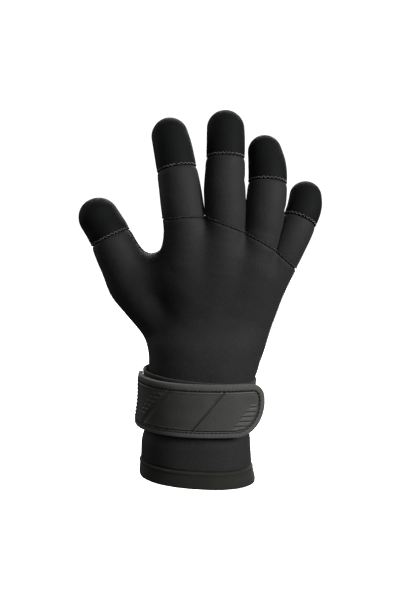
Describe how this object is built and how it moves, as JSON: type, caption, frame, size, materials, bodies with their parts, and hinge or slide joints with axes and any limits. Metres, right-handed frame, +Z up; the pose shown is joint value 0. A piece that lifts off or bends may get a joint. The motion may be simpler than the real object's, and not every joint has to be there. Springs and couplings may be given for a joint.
{
  "type": "diving glove",
  "caption": "Full-finger foam neoprene diving glove with seamed fingertip panels, a hemmed cuff opening and a wrap-over wrist strap with a moulded face.",
  "frame": {"origin": "middle of the cuff's opening, in the plane of the hem's lower edge, where the wearer's hand goes in", "axes": "+Z up the hand towards the fingertips, +X from the thumb's side to the little finger's side, -Y out of the back of the hand, +Y out of the palm"},
  "size_m": [0.1838, 0.0733, 0.2808],
  "materials": {
    "jersey_neoprene": "black knitted nylon over foam neoprene, matt",
    "grip_neoprene": "blacker, closer knit over foam neoprene, matt",
    "hem_tape": "charcoal stretch tape, matt",
    "elastic_webbing": "black elastic webbing, matt",
    "moulded_rubber": "grey moulded rubber, satin",
    "binding_tape": "grey woven tape, matt"
  },
  "bodies": {
    "root": {"back_panel": "jersey_neoprene", "palm_panel": "jersey_neoprene", "thumb_tip": "grip_neoprene", "index_sleeve": "jersey_neoprene", "index_tip": "grip_neoprene", "middle_sleeve": "jersey_neoprene", "middle_tip": "grip_neoprene", "ring_sleeve": "jersey_neoprene", "ring_tip": "grip_neoprene", "little_sleeve": "jersey_neoprene", "little_tip": "grip_neoprene", "hem_band": "hem_tape", "under_band": "elastic_webbing", "strap_backing": "elastic_webbing", "strap_face": "moulded_rubber", "strap_binding": "binding_tape"}
  },
  "joints": []
}
